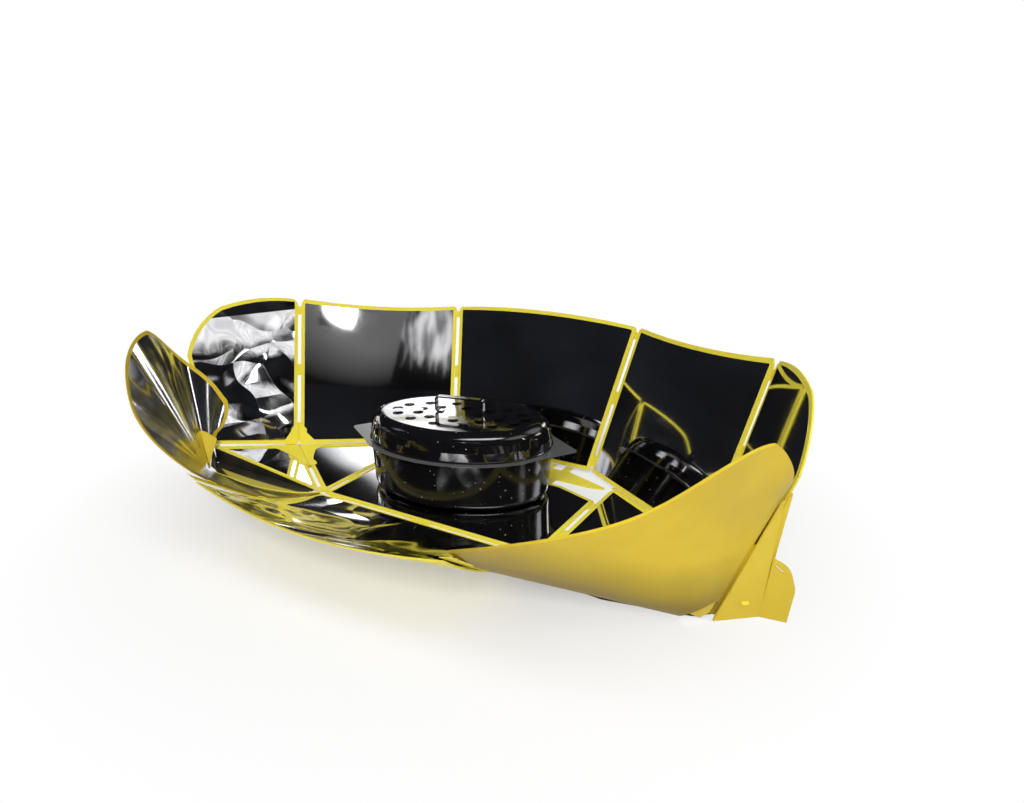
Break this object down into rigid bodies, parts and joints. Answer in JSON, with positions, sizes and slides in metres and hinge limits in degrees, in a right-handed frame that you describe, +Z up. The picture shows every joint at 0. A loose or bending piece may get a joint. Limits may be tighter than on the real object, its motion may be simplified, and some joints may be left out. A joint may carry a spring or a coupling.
{
  "type": "folding panel solar cooker with roasting pan",
  "caption": "Foldable yellow plastic sheet opened into a mirror-lined bowl: flat floor, leaning back walls, low front apron and curved side wings, with a black oval lidded roaster inside.",
  "frame": {"origin": "centre of the floor panel on its underside, on the ground", "axes": "+Z up, +Y towards the back wall, +X towards the right-hand foot seen from the front"},
  "size_m": [1.0774, 0.6379, 0.2763],
  "materials": {
    "yellow_sheet": "satin",
    "mirror_film": "polished",
    "enamel": "gloss black with fine pale speckles"
  },
  "bodies": {
    "base": {"floor_panel": "yellow_sheet", "floor_mirror": "mirror_film", "spine_strip": "yellow_sheet", "hinge_back_centre": "yellow_sheet", "hinge_front": "yellow_sheet", "floor_side_panel_left": "yellow_sheet", "floor_side_mirror_left": "mirror_film", "hinge_floor_side_left": "yellow_sheet", "hinge_floor_corner_left": "yellow_sheet", "hinge_wall_foot_left": "yellow_sheet", "floor_side_panel_right": "yellow_sheet", "floor_side_mirror_right": "mirror_film", "hinge_floor_side_right": "yellow_sheet", "hinge_floor_corner_right": "yellow_sheet", "hinge_wall_foot_right": "yellow_sheet"},
    "back": {"back_centre_panel": "yellow_sheet", "back_centre_mirror": "mirror_film", "hinge_back_side_left": "yellow_sheet", "hinge_back_side_right": "yellow_sheet"},
    "apron": {"front_apron": "yellow_sheet", "front_apron_mirror": "mirror_film", "hinge_wing_left": "yellow_sheet", "hinge_wing_right": "yellow_sheet"},
    "pan": {"roasting_pan": "enamel"},
    "lid": {"pan_lid": "enamel", "lid_grip": "enamel"},
    "side_left": {"back_side_panel_left": "yellow_sheet", "back_side_mirror_left": "mirror_film", "hinge_end_left": "yellow_sheet"},
    "end_left": {"end_panel_left": "yellow_sheet", "end_mirror_left": "mirror_film", "foot_left": "yellow_sheet", "lock_tab_left": "yellow_sheet"},
    "corner_left": {"floor_corner_panel_left": "yellow_sheet", "floor_corner_mirror_left": "mirror_film", "hinge_end_foot_left": "yellow_sheet"},
    "wing_left": {"wing_left": "yellow_sheet", "wing_mirror_left": "mirror_film", "pleat_left": "yellow_sheet"},
    "side_right": {"back_side_panel_right": "yellow_sheet", "back_side_mirror_right": "mirror_film", "hinge_end_right": "yellow_sheet"},
    "end_right": {"end_panel_right": "yellow_sheet", "end_mirror_right": "mirror_film", "foot_right": "yellow_sheet", "lock_tab_right": "yellow_sheet"},
    "corner_right": {"floor_corner_panel_right": "yellow_sheet", "floor_corner_mirror_right": "mirror_film", "hinge_end_foot_right": "yellow_sheet"},
    "wing_right": {"wing_right": "yellow_sheet", "wing_mirror_right": "mirror_film", "pleat_right": "yellow_sheet"}
  },
  "joints": [
    {"name": "back_fold", "type": "hinge", "parent": "base", "child": "back", "pos_m": [0, 0.19, 0.0012], "axis": [-1, 0, 0], "range_deg": [0, 70]},
    {"name": "side_fold_left", "type": "hinge", "parent": "base", "child": "side_left", "pos_m": [-0.146, 0.19, 0.0012], "axis": [-0.8377, -0.5461, 0], "range_deg": [0, 68.3]},
    {"name": "end_fold_left", "type": "hinge", "parent": "side_left", "child": "end_left", "pos_m": [-0.39732, 0.02617, 0.0012], "axis": [0.194, -0.3121, -0.93], "range_deg": [0, 29.4]},
    {"name": "corner_fold_left", "type": "hinge", "parent": "base", "child": "corner_left", "pos_m": [-0.2025, -0.112, 0.0012], "axis": [0.8157, -0.5785, 0], "range_deg": [0, 10.55]},
    {"name": "side_fold_right", "type": "hinge", "parent": "base", "child": "side_right", "pos_m": [0.146, 0.19, 0.0012], "axis": [-0.8377, 0.5461, 0], "range_deg": [0, 68.3]},
    {"name": "end_fold_right", "type": "hinge", "parent": "side_right", "child": "end_right", "pos_m": [0.39732, 0.02617, 0.0012], "axis": [0.194, 0.3121, 0.93], "range_deg": [0, 29.4]},
    {"name": "corner_fold_right", "type": "hinge", "parent": "base", "child": "corner_right", "pos_m": [0.2025, -0.112, 0.0012], "axis": [0.8157, 0.5785, 0], "range_deg": [0, 10.55]},
    {"name": "apron_fold", "type": "hinge", "parent": "base", "child": "apron", "pos_m": [0, -0.112, 0.0012], "axis": [1, 0, 0], "range_deg": [0, 9]},
    {"name": "wing_fold_left", "type": "hinge", "parent": "apron", "child": "wing_left", "pos_m": [-0.2025, -0.112, 0.0012], "axis": [0.0332, 0.8895, -0.4557], "range_deg": [0, 2.3]},
    {"name": "wing_fold_right", "type": "hinge", "parent": "apron", "child": "wing_right", "pos_m": [0.2025, -0.112, 0.0012], "axis": [0.0332, -0.8895, 0.4557], "range_deg": [0, 2.3]},
    {"name": "pan_lift", "type": "slide", "parent": "base", "child": "pan", "axis": [0, 0, 1], "range_m": [0, 0.25]},
    {"name": "lid_lift", "type": "slide", "parent": "pan", "child": "lid", "axis": [0, 0, 1], "range_m": [0, 0.12]}
  ],
  "couplings": [
    {"joint": "side_fold_left", "follows": "back_fold", "ratio": 0.975},
    {"joint": "end_fold_left", "follows": "back_fold", "ratio": 0.419},
    {"joint": "corner_fold_left", "follows": "back_fold", "ratio": 0.15},
    {"joint": "wing_fold_left", "follows": "apron_fold", "ratio": 0.25},
    {"joint": "side_fold_right", "follows": "back_fold", "ratio": 0.975},
    {"joint": "end_fold_right", "follows": "back_fold", "ratio": 0.419},
    {"joint": "corner_fold_right", "follows": "back_fold", "ratio": 0.15},
    {"joint": "wing_fold_right", "follows": "apron_fold", "ratio": 0.25}
  ]
}
